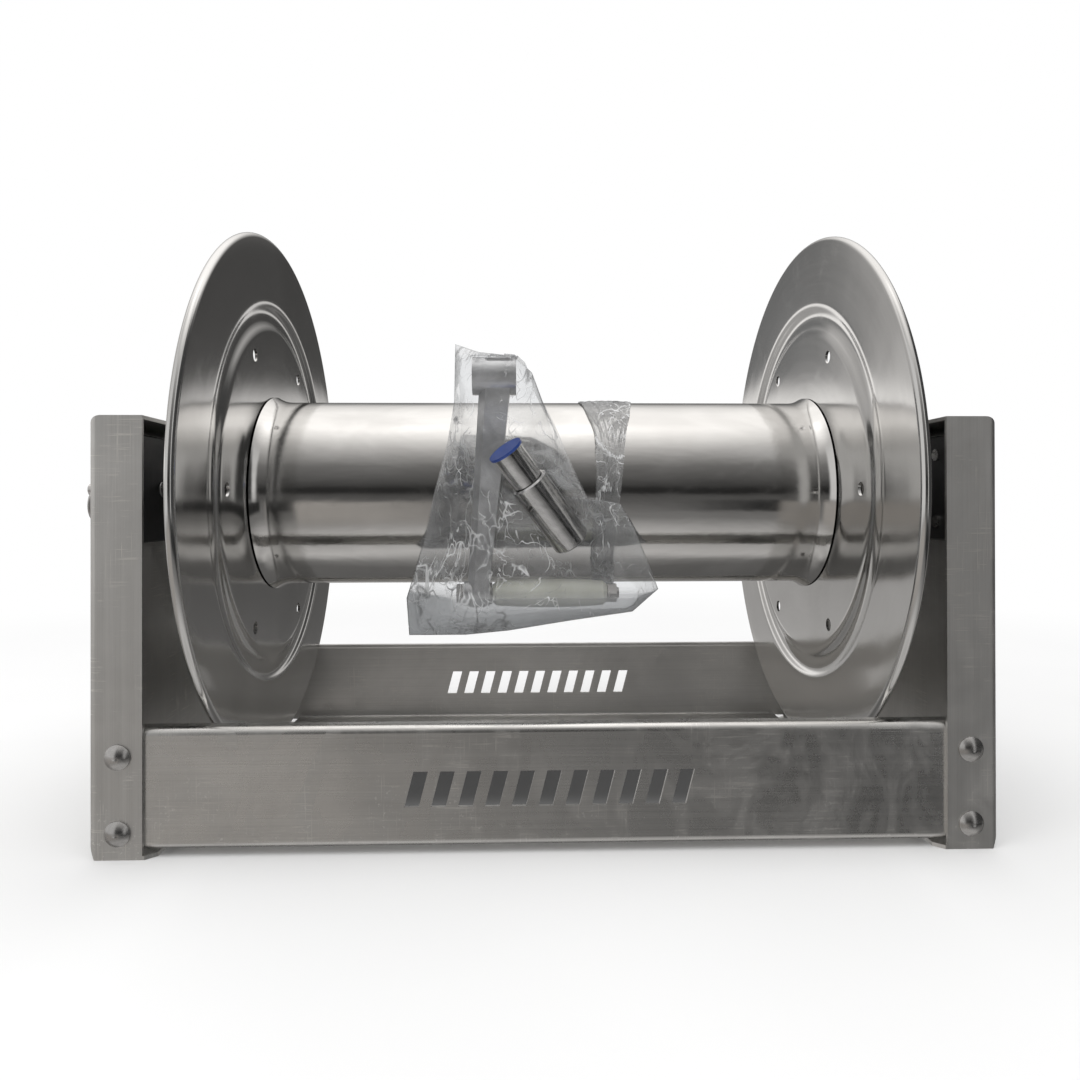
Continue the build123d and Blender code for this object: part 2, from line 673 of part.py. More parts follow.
with BuildPart() as swivel_body:
    swivel_rod(body_start, run.length, swivel_body_radius)
    chamfer(swivel_body.edges().filter_by(GeomType.CIRCLE), 1.2)
    swivel_rod(body_start, run.length, swivel_bore_radius, Mode.SUBTRACT)
    swivel_rod(body_start, body_start + 26, swivel_stem_radius - 2.5 + running_gap, Mode.SUBTRACT)
    # the filling port of the ball race faces out at the front, turned to the left
    turned_front = Vector(0, -1, 0).rotate(Axis((0, 0, 0), tuple(swivel_axis)), swivel_port_turn)
    outward = (turned_front - swivel_axis * turned_front.dot(swivel_axis)).normalized()
    skin = Vector(*swivel_top) + swivel_axis * (body_start + swivel_port_place) + outward * swivel_body_radius
    with BuildSketch(Plane(skin, x_dir=swivel_axis, z_dir=outward)) as port:
        Circle(swivel_port_radius)
    extrude(port.sketch, amount=-3.0, mode=Mode.SUBTRACT)
    extrude(port.sketch, amount=3.0, mode=Mode.SUBTRACT)
save(swivel_body.part, "swivel_body")

with BuildPart() as swivel_stem:
    swivel_rod(2, body_start - 0.5, swivel_stem_radius)
    swivel_rod(body_start - 0.5, body_start + 25, swivel_stem_radius - 2.5)
    swivel_rod(2, body_start + 25, swivel_bore_radius - 1.5, Mode.SUBTRACT)
save(swivel_stem.part, "swivel_stem")

with BuildPart() as swivel_cap:
    swivel_rod(0, 2, swivel_stem_radius + 1.5)
    swivel_rod(2, 10, swivel_bore_radius - 1.5)
save(swivel_cap.part, "swivel_cap")

# ==== bag ==================================================================================
bag_outline = [
    (-68, 350), (-21, 342), (-8, 330), (-2, 306), (22, 295), (63, 299), (88, 166), (66, 146), (17, 140),
    (-28, 133), (-103, 130), (-105, 158), (-100, 174), (-91, 205), (-84, 238), (-74, 276), (-69, 306),
]
with BuildPart() as bag_front:
    with BuildSketch(Plane.XZ.offset(-bag_back_y + bag_film)):
        with BuildLine():
            Polyline(*bag_outline, close=True)
        make_face()
    extrude(amount=bag_back_y - bag_film - bag_front_y, taper=4)
    rear_face = bag_front.faces().sort_by(Axis.Y)[-1]
    offset(amount=-bag_film, openings=rear_face)
save(bag_front.part, "bag_front")

with BuildPart() as bag_back:
    with BuildSketch(Plane.XZ.offset(-bag_back_y)):
        with BuildLine():
            Polyline(*bag_outline, close=True)
        make_face()
    extrude(amount=bag_film)
save(bag_back.part, "bag_back")

with BuildPart() as bag_neck:
    rod_x(neck_x[0], neck_x[1], drum_radius + neck_film)
    rod_x(neck_x[0], neck_x[1], drum_radius, mode=Mode.SUBTRACT)
save(bag_neck.part, "bag_neck")
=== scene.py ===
import math

import bmesh
import bpy
from mathutils import Matrix, Vector, noise


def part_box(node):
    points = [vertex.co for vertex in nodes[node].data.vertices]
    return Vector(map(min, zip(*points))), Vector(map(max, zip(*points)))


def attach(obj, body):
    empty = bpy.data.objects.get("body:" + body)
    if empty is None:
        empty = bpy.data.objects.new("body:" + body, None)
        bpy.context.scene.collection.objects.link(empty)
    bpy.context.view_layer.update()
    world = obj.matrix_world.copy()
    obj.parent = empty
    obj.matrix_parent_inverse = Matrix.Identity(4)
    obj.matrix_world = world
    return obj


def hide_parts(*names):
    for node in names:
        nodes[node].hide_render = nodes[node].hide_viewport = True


# A stainless hose reel in its folded frame, with a bag of loose fittings tied to the drum.
# Metres.  +X runs along the axle towards the inlet, +Y to the back, +Z up.

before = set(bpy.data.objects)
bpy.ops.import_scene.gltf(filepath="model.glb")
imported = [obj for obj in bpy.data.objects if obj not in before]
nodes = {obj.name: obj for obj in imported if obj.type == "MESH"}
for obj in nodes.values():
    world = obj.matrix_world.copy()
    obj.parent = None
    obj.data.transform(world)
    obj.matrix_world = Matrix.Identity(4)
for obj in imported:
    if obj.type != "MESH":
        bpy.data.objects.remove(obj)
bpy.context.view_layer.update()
scene = bpy.context.scene
scene.view_settings.view_transform = "Standard"

MM = 0.001

# ---- sizes read from the frame, and those that the frame's boxes don't give ----------------
AXLE_HEIGHT = (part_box("drum_tube")[0].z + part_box("drum_tube")[1].z) / 2
DISC_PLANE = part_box("drum_tube")[1].x
DISC_RADIUS = (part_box("disc_left")[1].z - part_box("disc_left")[0].z) / 2
DISC_SHEET = 0.002
BEAD_RADIUS = 0.0035
RING_DEPTH = 0.0035
RING_INNER = 0.135
RING_OUTER = 0.157
SHAFT_HOLE = 0.0177
DRUM_RADIUS = 0.0762
DRUM_WALL = 0.002
FLARE_LENGTH = 0.014
FLARE_RISE = 0.0042
SEAM = 0.0009
LOCK_HOLES = 6
LOCK_CIRCLE = 0.122
LOCK_HOLE_RADIUS = 0.005


# ==== camera ===============================================================================
FOCAL_LENGTH = 26.865
CAMERA_PLACE = (-0.02094, -0.6910, 0.2250)
CAMERA_YAW, CAMERA_PITCH, CAMERA_ROLL = -0.0276, 0.0030, 0.0018


def make_camera():
    """The camera stands level in front of the drum and keeps the uprights upright by its shift."""
    data = bpy.data.cameras.new("camera")
    data.sensor_width = 36.0
    data.lens = FOCAL_LENGTH
    data.shift_y = -0.0309
    data.clip_start = 0.02
    camera = bpy.data.objects.new("camera", data)
    scene.collection.objects.link(camera)
    turn = (
        Matrix.Rotation(CAMERA_YAW, 3, "Z")
        @ Matrix.Rotation(CAMERA_PITCH, 3, "X")
        @ Matrix.Rotation(CAMERA_ROLL, 3, "Y")
    )
    right, forward, up = turn.col[0], turn.col[1], turn.col[2]
    axes = Matrix((right, up, -forward)).transposed().to_4x4()
    camera.matrix_world = Matrix.Translation(CAMERA_PLACE) @ axes
    scene.camera = camera


# ==== node helpers =========================================================================
class Graph:
    """A node tree that is written as nested calls: each call adds a node and gives its output."""

    def __init__(self, tree):
        self.tree = tree
        tree.nodes.clear()

    def add(self, kind, output=0, settings=None, **inputs):
        node = self.tree.nodes.new(kind)
        for key, value in (settings or {}).items():
            setattr(node, key, value)
        for key, value in inputs.items():
            self.put(node, key, value)
        return node.outputs[output]

    def put(self, node, key, value):
        name = key.replace("_", " ")
        numbered = name.startswith("in") and name[2:].isdigit()
        socket = node.inputs[int(name[2:]) if numbered else name]
        if isinstance(value, bpy.types.NodeSocket):
            self.tree.links.new(value, socket)
        else:
            if isinstance(value, tuple) and len(value) == 3 and len(socket.default_value) == 4:
                value = (*value, 1.0)
            socket.default_value = value

    def math(self, operation, *values, clamp=False):
        settings = {"operation": operation, "use_clamp": clamp}
        return self.add("ShaderNodeMath", settings=settings, **{f"in{i}": v for i, v in enumerate(values)})

    def step(self, value, low, high, start=0.0, end=1.0):
        """A smooth step from start to end as value goes from low to high."""
        node = self.tree.nodes.new("ShaderNodeMapRange")
        node.interpolation_type = "SMOOTHSTEP"
        ends = (("Value", value), ("From Min", low), ("From Max", high), ("To Min", start), ("To Max", end))
        for key, given in ends:
            self.put(node, key, given)
        return node.outputs["Result"]

    def ramp(self, value, stops):
        """A colour ramp; stops are (position, colour or grey)."""
        node = self.tree.nodes.new("ShaderNodeValToRGB")
        elements = node.color_ramp.elements
        while len(elements) < len(stops):
            elements.new(0.5)
        for element, (position, colour) in zip(elements, stops):
            element.position = position
        for element, (position, colour) in zip(elements, stops):
            element.color = (*colour, 1.0) if isinstance(colour, tuple) else (colour, colour, colour, 1.0)
        self.put(node, "Fac", value)
        return node.outputs["Color"]

    def mix(self, factor, first, second, blend="MIX"):
        node = self.tree.nodes.new("ShaderNodeMix")
        node.data_type = "RGBA"
        node.blend_type = blend
        self.put(node, "in0", factor)
        self.put(node, "in6", first)
        self.put(node, "in7", second)
        return node.outputs[2]

    def noise(self, vector, scale, detail=4.0, roughness=0.55, distortion=0.0):
        return self.add("ShaderNodeTexNoise", Vector=vector, Scale=scale, Detail=detail,
                        Roughness=roughness, Distortion=distortion)

    def stretch(self, vector, scale, turn=(0.0, 0.0, 0.0), move=(0.0, 0.0, 0.0)):
        return self.add("ShaderNodeMapping", Vector=vector, Scale=scale, Rotation=turn, Location=move)

    def bump(self, height, strength, distance, normal=None):
        extra = {} if normal is None else {"Normal": normal}
        return self.add("ShaderNodeBump", Height=height, Strength=strength, Distance=distance, **extra)


def new_material(name):
    material = bpy.data.materials.new(name)
    material.use_nodes = True
    return material, Graph(material.node_tree)


def finish_material(graph, shader):
    output = graph.tree.nodes.new("ShaderNodeOutputMaterial")
    graph.tree.links.new(shader, output.inputs["Surface"])


# ==== materials ============================================================================
GRAIN = {"x": (4.0, 700.0, 700.0), "y": (700.0, 4.0, 700.0), "z": (700.0, 700.0, 4.0)}


def steel_shader(graph, colour, roughness, normal, metallic=1.0):
    return graph.add("ShaderNodeBsdfPrincipled", **{"Base Color": colour}, Metallic=metallic,
                     Roughness=roughness, Normal=normal)


def brushed_steel(name, grain, tint=(0.74, 0.733, 0.715), rough=0.42, smudge=1.0, scuff_highlight_top=0.09):
    """Sheet with a fine grain along one axis, cross scratches, hand smudges, and bright scuffs near the foot
    that are partly wear and partly a painted highlight along the bottom.
    """
    material, g = new_material(name)
    place = g.add("ShaderNodeTexCoord", output="Object")
    fine = g.noise(g.stretch(place, GRAIN[grain]), 2.4, 3.0, 0.6)
    broad = g.noise(g.stretch(place, tuple(s / 5 for s in GRAIN[grain])), 1.6, 3.0, 0.6)
    cloud = g.noise(place, 9.0, 5.0, 0.6, 0.6)
    patch = g.noise(g.stretch(place, (1.0, 1.0, 0.6), move=(3.1, 1.7, 0.4)), 26.0, 5.0, 0.65, 1.2)
    # short hand scratches in two directions
    flat = g.stretch(place, (35.0, 35.0, 900.0), (0.0, 0.35, 0.0), (0.3, 0.1, 0.8))
    swirl = g.noise(flat, 1.0, 2.0, 0.5, 0.4)
    upright = g.stretch(place, (1100.0, 60.0, 22.0), (0.0, 0.12, 0.0), (0.7, 0.2, 0.1))
    cross = g.noise(upright, 1.0, 2.0, 0.5, 0.3)
    worn = g.step(patch, 0.48, 0.62)
    marks = g.math("MULTIPLY", g.math("MAXIMUM", g.step(swirl, 0.58, 0.68), g.step(cross, 0.60, 0.70)), worn)
    height = g.add("ShaderNodeSeparateXYZ", output="Z", Vector=place)
    # scuffs near the foot: partly wear, partly a painted highlight that lightens the bottom band of the sheet
    scuff_highlight_fade = g.step(height, 0.0, scuff_highlight_top, 1.0, 0.0)
    speck = g.noise(place, 420.0, 2.0, 0.7)
    scuff_and_highlight = g.math("MULTIPLY", g.math("MULTIPLY", g.step(speck, 0.60, 0.72), g.step(patch, 0.46, 0.62)), scuff_highlight_fade)
    dark = tuple(c * 0.82 for c in tint)
    colour = g.mix(g.step(cloud, 0.28, 0.74), dark, tint)
    colour = g.mix(g.math("MULTIPLY", g.step(broad, 0.35, 0.75), 0.18), colour, (0.86, 0.85, 0.83))
    colour = g.mix(g.math("MULTIPLY", g.step(fine, 0.40, 0.75), 0.12), colour, (0.30, 0.29, 0.28))
    colour = g.mix(g.math("MULTIPLY", marks, 0.55 * smudge), colour, (0.92, 0.90, 0.86))
    # painted highlight and scuffs: the lower band is mixed towards near white
    colour = g.mix(g.math("MULTIPLY", scuff_and_highlight, 0.7), colour, (0.95, 0.94, 0.92))
    roughness = g.math("ADD", rough, g.math("MULTIPLY", g.step(patch, 0.40, 0.70), 0.14 * smudge))
    roughness = g.math("ADD", roughness, g.math("MULTIPLY", g.math("SUBTRACT", broad, 0.5), 0.10))
    relief = g.math("ADD", g.math("MULTIPLY", fine, 0.7), g.math("MULTIPLY", marks, 0.5))
    normal = g.bump(relief, 0.16, 0.0004)
    wave = g.noise(g.stretch(place, (1.0, 1.0, 1.4)), 7.0, 2.0, 0.5)
    normal = g.bump(wave, 0.05, 0.02, normal)
    finish_material(g, steel_shader(g, colour, roughness, normal))
    return material


def around_axle(graph):
    """(x, radius, turns about the axle) of a point, for finishes turned on a lathe."""
    place = graph.add("ShaderNodeTexCoord", output="Object")
    split = graph.tree.nodes.new("ShaderNodeSeparateXYZ")
    graph.tree.links.new(place, split.inputs[0])
    x, y = split.outputs[0], split.outputs[1]
    z = graph.math("SUBTRACT", split.outputs[2], AXLE_HEIGHT)
    radius = graph.math("SQRT", graph.math("ADD", graph.math("MULTIPLY", y, y), graph.math("MULTIPLY", z, z)))
    angle = graph.math("ARCTAN2", z, y)
    return place, x, radius, angle


def spun_steel(name):
    """Discs spun on a lathe: rings of fine tool lines, slow waves round the sheet, a few rubs."""
    material, g = new_material(name)
    place, x, radius, angle = around_axle(g)
    rings = g.add("ShaderNodeCombineXYZ", X=radius, Y=g.math("MULTIPLY", angle, 0.004), Z=x)
    fine = g.noise(rings, 1900.0, 3.0, 0.6)
    broad = g.noise(rings, 210.0, 2.0, 0.5)
    slow = g.noise(place, 7.0, 3.0, 0.5, 0.4)
    rub = g.noise(place, 34.0, 5.0, 0.65, 0.8)
    colour = g.mix(g.step(slow, 0.35, 0.68), (0.56, 0.555, 0.545), (0.66, 0.655, 0.645))
    colour = g.mix(g.math("MULTIPLY", g.step(fine, 0.45, 0.75), 0.14), colour, (0.85, 0.84, 0.82))
    colour = g.mix(g.math("MULTIPLY", g.step(rub, 0.58, 0.72), 0.06), colour, (0.80, 0.79, 0.77))
    roughness = g.math("ADD", 0.14, g.math("MULTIPLY", g.step(rub, 0.50, 0.75), 0.05))
    roughness = g.math("ADD", roughness, g.math("MULTIPLY", g.math("SUBTRACT", broad, 0.5), 0.05))
    normal = g.bump(g.math("ADD", g.math("MULTIPLY", fine, 0.5), broad), 0.04, 0.0002)
    normal = g.bump(slow, 0.012, 0.02, normal)
    finish_material(g, steel_shader(g, colour, roughness, normal))
    return material


def drawn_tube(name):
    """The drum: polished welded tube with faint lengthwise lines and a slightly wavy surface."""
    material, g = new_material(name)
    place, x, radius, angle = around_axle(g)
    along, around = g.math("MULTIPLY", x, 0.02), g.math("MULTIPLY", angle, DRUM_RADIUS)
    lines = g.add("ShaderNodeCombineXYZ", X=along, Y=around, Z=0.0)
    fine = g.noise(lines, 1700.0, 3.0, 0.6)
    drift = g.noise(g.stretch(place, (0.35, 1.0, 1.0)), 34.0, 3.0, 0.55, 0.5)
    waves = g.noise(g.stretch(place, (0.55, 1.0, 1.0)), 16.0, 3.0, 0.6, 0.8)
    rub = g.noise(place, 60.0, 5.0, 0.7, 0.8)
    colour = g.mix(g.step(waves, 0.35, 0.70), (0.60, 0.592, 0.578), (0.70, 0.692, 0.678))
    colour = g.mix(g.math("MULTIPLY", g.step(fine, 0.45, 0.75), 0.10), colour, (0.40, 0.39, 0.38))
    roughness = g.math("ADD", 0.10, g.math("MULTIPLY", g.step(rub, 0.50, 0.75), 0.09))
    normal = g.bump(fine, 0.05, 0.0002)
    normal = g.bump(g.math("ADD", drift, waves), 0.012, 0.02, normal)
    finish_material(g, steel_shader(g, colour, roughness, normal))
    return material


def plain_metal(name, tint, rough, grain_scale=320.0, relief=0.08, spread=0.12, metallic=1.0):
    """Machined or plated metal with a light grain and small rubs."""
    material, g = new_material(name)
    place = g.add("ShaderNodeTexCoord", output="Object")
    grain = g.noise(place, grain_scale, 4.0, 0.6)
    rub = g.noise(place, 55.0, 5.0, 0.65, 0.5)
    dark = tuple(c * 0.72 for c in tint)
    colour = g.mix(g.step(rub, 0.30, 0.70), dark, tint)
    roughness = g.math("ADD", rough, g.math("MULTIPLY", g.step(rub, 0.40, 0.75), spread))
    finish_material(g, steel_shader(g, colour, roughness, g.bump(grain, relief, 0.0006), metallic))
    return material


def plastic(name, colour, deep, rough, grain_scale=260.0, relief=0.12, through=0.0):
    """Moulded or cut plastic: a soft mottle, a fine skin and rubbed places."""
    material, g = new_material(name)
    place = g.add("ShaderNodeTexCoord", output="Object")
    skin = g.noise(place, grain_scale, 4.0, 0.6)
    mottle = g.noise(place, 30.0, 4.0, 0.6, 0.4)
    mixed = g.mix(g.step(mottle, 0.35, 0.70), deep, colour)
    roughness = g.math("ADD", rough, g.math("MULTIPLY", g.step(mottle, 0.45, 0.75), 0.15))
    shader = g.add("ShaderNodeBsdfPrincipled", **{"Base Color": mixed, "Subsurface Weight": through,
                   "Subsurface Radius": (0.006, 0.006, 0.004)}, Roughness=roughness,
                   Normal=g.bump(skin, relief, 0.0005))
    finish_material(g, shader)
    return material


# creases at three sizes: noise scale, half width, and where the larger noise lets them show
FOLDS = ((16.0, 0.007, 0.38, 0.50), (34.0, 0.010, 0.42, 0.54), (70.0, 0.016, 0.46, 0.58))


def clear_film(name):
    """Thin clear film: seen through where it lies tight, milky where it folds, with bright thin creases. Below
    the drum, and at some hem edges, the film is darkened as painted shade.
    """
    material, g = new_material(name)
    place = g.add("ShaderNodeTexCoord", output="Object")
    veil = g.add("ShaderNodeAttribute", output="Fac", settings={"attribute_name": "veil"})
    wander = g.add("ShaderNodeVectorMath", settings={"operation": "SCALE"}, Scale=0.012,
                   in0=g.add("ShaderNodeTexNoise", output="Color", Vector=place, Scale=40.0, Detail=2.0))
    bent = g.add("ShaderNodeVectorMath", settings={"operation": "ADD"},
                 in0=g.stretch(place, (1.0, 1.0, 0.6)), in1=wander)
    large = g.noise(place, 20.0, 3.0, 0.6, 1.0)
    lines = 0.0
    for scale, width, low, high in FOLDS:
        fold = g.math("ABSOLUTE", g.math("SUBTRACT", g.noise(bent, scale, 1.6, 0.5, 0.9), 0.5))
        line = g.step(fold, 0.0, width, 1.0, 0.0)
        lines = g.math("MAXIMUM", lines, g.math("MULTIPLY", line, g.step(large, low, high)))
    facet = g.add("ShaderNodeTexVoronoi", output="Distance", Vector=bent, Scale=34.0)
    normal = g.bump(facet, 0.45, 0.006)
    normal = g.bump(g.noise(bent, 110.0, 2.0, 0.5), 0.10, 0.002, normal)
    facing = g.add("ShaderNodeLayerWeight", output="Facing", Blend=0.30, Normal=normal)
    loose = g.step(veil, 0.0, 0.09)
    milky = g.math("ADD", veil, g.math("MULTIPLY", g.math("MULTIPLY", lines, loose), 0.90))
    milky = g.math("ADD", milky, g.math("MULTIPLY", g.math("POWER", facing, 4.0), 0.35), clamp=True)
    tone = g.mix(loose, (0.98, 0.985, 0.99), (0.90, 0.905, 0.91))
    # painted shade: where the milkiness value passes 0.26 (the film below the drum, and some front hem edges)
    # the see-through tone and the milky body are darkened
    painted_shade = g.step(veil, 0.26, 0.34)
    tone = g.mix(painted_shade, tone, (0.57, 0.58, 0.59))
    clear = g.add("ShaderNodeBsdfTransparent", Color=tone)
    pale = g.mix(painted_shade, (0.90, 0.905, 0.91), (0.62, 0.63, 0.64))
    white = g.add("ShaderNodeBsdfDiffuse", Color=pale, Normal=normal)
    lit = g.add("ShaderNodeBsdfTranslucent", Color=(0.74, 0.745, 0.75), Normal=normal)
    body = g.add("ShaderNodeMixShader", Fac=0.4, in1=white, in2=lit)
    seen = g.add("ShaderNodeMixShader", Fac=milky, in1=clear, in2=body)
    shine = g.add("ShaderNodeBsdfGlossy", Color=(0.95, 0.96, 0.97), Roughness=0.09, Normal=normal)
    fresnel = g.add("ShaderNodeFresnel", IOR=1.5, Normal=normal)
    gloss = g.math("ADD", g.math("MULTIPLY", fresnel, 0.8), 0.01)
    gloss = g.math("MULTIPLY", gloss, g.step(veil, -0.05, 0.12), clamp=True)
    finish_material(g, g.add("ShaderNodeMixShader", Fac=gloss, in1=seen, in2=shine))
    return material


def paint(obj, material):
    """Every slot of the object takes this material."""
    if not obj.data.materials:
        obj.data.materials.append(material)
    for number in range(len(obj.data.materials)):
        obj.data.materials[number] = material


# ==== light and room =======================================================================
def grey(value, warmth=0.0):
    return (value * (1 + warmth), value, value * (1 - warmth))


def degrees(value):
    """The place of an elevation on a ramp that runs from straight down to straight up."""
    return (value + 90.0) / 180.0


# what the steel sees at each elevation in front of the reel, and behind it to the left and right
IN_FRONT = [
    (-90, 0.36), (-76, 0.62), (-65, 0.50), (-53, 0.62), (-42, 0.42), (-31, 0.22), (-20, 0.19),
    (-10, 0.13), (-4, 0.09), (-1.5, 0.025), (4, 0.028), (7, 0.06), (12, 0.09), (20, 0.14), (31, 0.21),
    (42, 0.41), (53, 0.68), (65, 1.1), (78, 1.6), (90, 2.0),
]
BEHIND_LEFT = [
    (-90, 0.36), (-70, 0.15), (-40, 0.13), (-20, 0.32), (-13.0, 0.24), (-10.8, 0.85), (-9.4, 0.46),
    (-3.0, 0.42), (-1.5, 0.46), (0.6, 0.38), (2.4, 0.62), (4.0, 1.15), (7.3, 1.15), (8.4, 0.62),
    (14.0, 0.50), (30.0, 0.6), (45.0, 1.1), (60.0, 1.4), (90.0, 1.5),
]
BEHIND_RIGHT = [
    (-90, 0.36), (-70, 0.15), (-40, 0.12), (-20, 0.30), (-13.0, 0.14), (-11.6, 0.40), (-10.0, 0.14),
    (-4.5, 0.10), (-2.4, 0.22), (-1.2, 0.20), (1.0, 0.08), (3.4, 0.18), (4.6, 0.75), (7.3, 0.80),
    (8.2, 0.08), (18.0, 0.07), (30.0, 0.45), (45.0, 1.1), (60.0, 1.4), (90.0, 1.5),
]


def make_world():
    """A plain room, white to the camera. The steel sees a dark horizon, daylight and a bright ceiling."""
    world = bpy.data.worlds.new("room")
    scene.world = world
    world.use_nodes = True
    g = Graph(world.node_tree)
    direction = g.add("ShaderNodeTexCoord", output="Generated")
    split = g.tree.nodes.new("ShaderNodeSeparateXYZ")
    g.tree.links.new(direction, split.inputs[0])
    x, y, z = split.outputs
    elevation = g.math("MULTIPLY", g.math("ARCSINE", z), 180 / math.pi)
    height = g.math("DIVIDE", g.math("ADD", elevation, 90.0), 180.0)

    def seen(stops, warmth=0.02):
        return g.ramp(height, [(degrees(e), grey(v, warmth)) for e, v in stops])

    front = seen(IN_FRONT)
    azimuth = g.math("MULTIPLY", g.math("ARCTAN2", x, g.math("MULTIPLY", y, -1.0)), 180 / math.pi)
    # pale walls to the left and right of the camera
    level = g.math("MULTIPLY", g.step(elevation, -14.0, -6.0), g.step(elevation, 40.0, 60.0, 1.0, 0.0))
    for wall, tone in ((g.step(azimuth, -30.0, -20.0, 1.0, 0.0), 0.75), (g.step(azimuth, 20.0, 30.0), 0.70)):
        front = g.mix(g.math("MULTIPLY", wall, level), front, grey(tone, 0.01))
    # floor in front: light to the left, shaded to the right with a light strip nearer the reel
    low = g.math("MULTIPLY", g.step(elevation, -50.0, -28.0), g.step(elevation, -14.0, -9.0, 1.0, 0.0))
    front = g.mix(g.math("MULTIPLY", g.step(azimuth, -16.0, 4.0, 1.0, 0.0), low), front, grey(0.40, 0.06))
    shade = g.math("MULTIPLY", g.step(azimuth, 9.0, 19.0), g.step(elevation, -25.0, -21.0))
    front = g.mix(g.math("MULTIPLY", shade, g.step(elevation, -12.0, -8.0, 1.0, 0.0)), front, grey(0.03, 0.0))
    behind = g.mix(g.step(x, -0.08, 0.08), seen(BEHIND_LEFT), seen(BEHIND_RIGHT))
    # the way behind to the left is darker next to the middle
    middle = g.math("MULTIPLY", g.step(x, -0.43, -0.34), g.step(x, -0.12, 0.0, 1.0, 0.0))
    middle = g.math("MULTIPLY", middle, g.step(elevation, 7.6, 9.0))
    middle = g.math("MULTIPLY", middle, g.step(elevation, 20.0, 40.0, 1.0, 0.0))
    behind = g.mix(middle, behind, grey(0.20))
    room = g.mix(g.step(y, -0.12, 0.12), front, behind)
    # a dark opening far to the right, above the floor
    beside = g.math("MULTIPLY", g.step(x, 0.56, 0.66), g.step(y, -0.1, 0.1, 1.0, 0.0))
    far_right = g.math("MAXIMUM", g.step(x, 0.62, 0.80), beside)
    dark_side = g.math("MULTIPLY", far_right, g.step(elevation, -14.0, -6.0))
    room = g.mix(dark_side, room, grey(0.06))
    path = g.tree.nodes.new("ShaderNodeLightPath")
    shown = g.mix(path.outputs["Is Camera Ray"], room, grey(1.0))
    soft = g.mix(path.outputs["Is Diffuse Ray"], shown, grey(0.75))
    background = g.add("ShaderNodeBackground", Color=soft, Strength=1.0)
    output = g.tree.nodes.new("ShaderNodeOutputWorld")
    g.tree.links.new(background, output.inputs["Surface"])


def make_floor():
    """A pale floor that fades into the white room, with a painted shadow under the reel; the steel sees the
    room's own floor tone instead.
    """
    material, g = new_material("floor")
    place = g.add("ShaderNodeTexCoord", output="Object")
    distance = g.add("ShaderNodeVectorMath", output="Value", settings={"operation": "LENGTH"}, in0=place)
    soft = g.noise(place, 3.0, 2.0, 0.5)
    colour = g.mix(g.step(soft, 0.3, 0.7), grey(0.855), grey(0.875))
    split = g.tree.nodes.new("ShaderNodeSeparateXYZ")
    g.tree.links.new(place, split.inputs[0])
    # painted shadow: the floor inside the reel's footprint is darkened towards grey 0.16
    across = g.step(g.math("ABSOLUTE", split.outputs[0]), 0.14, 0.29, 1.0, 0.0)
    deep = g.step(g.math("ABSOLUTE", split.outputs[1]), 0.05, 0.16, 1.0, 0.0)
    colour = g.mix(g.math("MULTIPLY", across, deep), colour, grey(0.16))
    near = g.add("ShaderNodeBsdfDiffuse", Color=colour)
    far = g.add("ShaderNodeEmission", Color=grey(1.0), Strength=1.0)
    shader = g.add("ShaderNodeMixShader", Fac=g.step(distance, 0.45, 1.6), in1=near, in2=far)
    finish_material(g, shader)
    side = 12.0
    mesh = bpy.data.meshes.new("floor")
    corners = [(-side, -side, 0), (side, -side, 0), (side, side, 0), (-side, side, 0)]
    mesh.from_pydata(corners, [], [(0, 1, 2, 3)])
    floor = bpy.data.objects.new("floor", mesh)
    scene.collection.objects.link(floor)
    floor.visible_glossy = False
    paint(floor, material)


def make_lights():
    for name, place, size, power in (
        ("overhead", (0.1, -0.2, 1.9), 2.4, 22.0),
        ("left_window", (-1.6, -1.0, 1.1), 1.0, 7.0),
    ):
        data = bpy.data.lights.new(name, "AREA")
        data.size = size
        data.energy = power
        light = bpy.data.objects.new(name, data)
        scene.collection.objects.link(light)
        light.location = place
        aim = Vector((0.0, 0.0, 0.15)) - Vector(place)
        light.rotation_euler = aim.to_track_quat("-Z", "Y").to_euler()
        light.visible_camera = False
        light.visible_glossy = False


# ==== shapes ===============================================================================
def link_mesh(name, points, faces, sharp=35.0):
    """A smooth-shaded mesh object with sharp edges above an angle."""
    mesh = bpy.data.meshes.new(name)
    mesh.from_pydata(points, [], faces)
    mesh.validate()
    mesh.update()
    obj = bpy.data.objects.new(name, mesh)
    scene.collection.objects.link(obj)
    smooth(obj, sharp)
    return obj


def smooth(obj, sharp=35.0):
    for polygon in obj.data.polygons:
        polygon.use_smooth = True
    obj.data.set_sharp_from_angle(angle=math.radians(sharp))


def rounded(corners, steps=6):
    """(x, radius) points of a closed outline whose corners (x, radius, rounding) are drawn round."""
    points = []
    for number, (x, r, rounding) in enumerate(corners):
        here = Vector((x, r))
        if not rounding:
            points.append((x, r))
            continue
        before = Vector(corners[number - 1][:2]) - here
        after = Vector(corners[(number + 1) % len(corners)][:2]) - here
        reach = min(rounding, before.length * 0.49, after.length * 0.49)
        start, end = here + before.normalized() * reach, here + after.normalized() * reach
        for step in range(steps + 1):
            t = step / steps
            points.append(tuple(start * (1 - t) ** 2 + here * 2 * t * (1 - t) + end * t * t))
    return points


